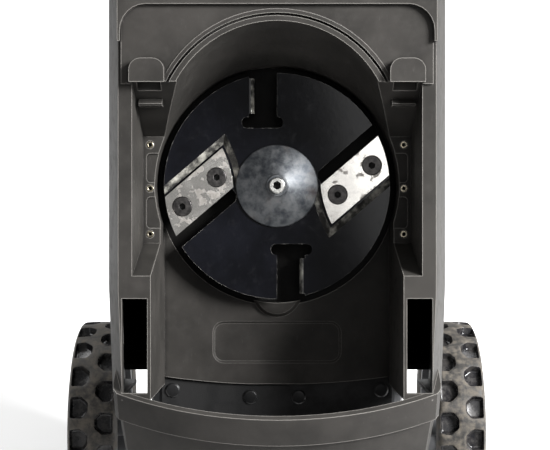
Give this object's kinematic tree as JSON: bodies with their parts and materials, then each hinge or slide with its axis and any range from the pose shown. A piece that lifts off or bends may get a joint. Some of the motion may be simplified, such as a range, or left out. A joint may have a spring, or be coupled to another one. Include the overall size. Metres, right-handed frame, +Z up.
{
  "type": "wood chipper",
  "caption": "Electric wood chipper with its feed hopper off: tilted cutter disc in a moulded tub, rubber discharge flap, motor cover, tube stand and transport wheels.",
  "frame": {"origin": "on the ground under the middle of the machine's box", "axes": "+Z up, -Y towards the front where branches go in, +X to the right seen from the front"},
  "size_m": [0.5066, 0.472, 0.7642],
  "materials": {
    "housing_plastic": "satin moulded",
    "disc_paint": "gloss black",
    "blade_steel": "ground",
    "black_oxide": "black oxide",
    "zinc": "mottled zinc",
    "bolt_zinc": "zinc plated",
    "shaft_steel": "turned",
    "copper_winding": "varnished",
    "brass_insert": "turned",
    "flap_rubber": "matte",
    "tyre_rubber": "dusty",
    "grey_plastic": "satin",
    "frame_paint": "powder coat",
    "green_plastic": "gloss",
    "red_plastic": "gloss"
  },
  "bodies": {
    "chassis": {"chamber_housing": "housing_plastic", "front_skirt": "housing_plastic", "rear_cover": "housing_plastic", "discharge_flap": "flap_rubber", "flap_strip": "zinc", "flap_rivet_1": "black_oxide", "flap_rivet_2": "black_oxide", "flap_rivet_3": "black_oxide", "flap_rivet_4": "black_oxide", "left_insert_1": "brass_insert", "right_insert_1": "brass_insert", "left_insert_2": "brass_insert", "right_insert_2": "brass_insert", "left_insert_3": "brass_insert", "right_insert_3": "brass_insert", "motor_plate": "zinc", "motor_sleeve": "zinc", "stator": "copper_winding", "motor_end_bell": "zinc", "front_bearing": "shaft_steel", "rear_bearing": "shaft_steel", "shaft_seal": "flap_rubber", "switch_box": "grey_plastic", "power_inlet": "grey_plastic", "carry_handle": "frame_paint", "interlock_switch": "grey_plastic", "foot_bar": "frame_paint", "axle": "shaft_steel", "left_leg": "frame_paint", "left_foot": "flap_rubber", "left_brace": "frame_paint", "left_spacer": "zinc", "left_hub_cap": "grey_plastic", "right_leg": "frame_paint", "right_foot": "flap_rubber", "right_brace": "frame_paint", "right_spacer": "zinc", "right_hub_cap": "grey_plastic"},
    "cutter": {"cutter_disc": "disc_paint", "blade_1": "blade_steel", "blade_2": "blade_steel", "blade_screw_1": "black_oxide", "blade_screw_2": "black_oxide", "blade_screw_3": "black_oxide", "blade_screw_4": "black_oxide", "hub_cone": "zinc", "hub_bolt": "bolt_zinc", "disc_carrier": "black_oxide", "drive_shaft": "shaft_steel", "rotor": "black_oxide", "cooling_fan": "grey_plastic"},
    "left_wheel": {"left_tyre": "tyre_rubber", "left_rim": "grey_plastic"},
    "right_wheel": {"right_tyre": "tyre_rubber", "right_rim": "grey_plastic"},
    "start_button": {"start_button": "green_plastic"},
    "stop_button": {"stop_button": "red_plastic"},
    "reset_button": {"reset_button": "grey_plastic"},
    "interlock": {"interlock_plunger": "red_plastic"}
  },
  "joints": [
    {"name": "cutter_spin", "type": "hinge", "parent": "chassis", "child": "cutter", "pos_m": [0, -0.01234, 0.511], "axis": [0, -0.866, 0.5], "continuous": true},
    {"name": "left_wheel_spin", "type": "hinge", "parent": "chassis", "child": "left_wheel", "pos_m": [-0.212, 0.10866, 0.12], "axis": [1, 0, 0], "continuous": true},
    {"name": "right_wheel_spin", "type": "hinge", "parent": "chassis", "child": "right_wheel", "pos_m": [0.212, 0.10866, 0.12], "axis": [1, 0, 0], "continuous": true},
    {"name": "start_press", "type": "slide", "parent": "chassis", "child": "start_button", "axis": [-1, 0, 0], "range_m": [0, 0.003], "stiffness_N_per_m": 600},
    {"name": "stop_press", "type": "slide", "parent": "chassis", "child": "stop_button", "axis": [-1, 0, 0], "range_m": [0, 0.003], "stiffness_N_per_m": 600},
    {"name": "reset_press", "type": "slide", "parent": "chassis", "child": "reset_button", "axis": [-1, 0, 0], "range_m": [0, 0.003], "stiffness_N_per_m": 400},
    {"name": "interlock_push", "type": "slide", "parent": "chassis", "child": "interlock", "axis": [0, 0.5, 0.866], "range_m": [0, 0.004], "stiffness_N_per_m": 500}
  ]
}
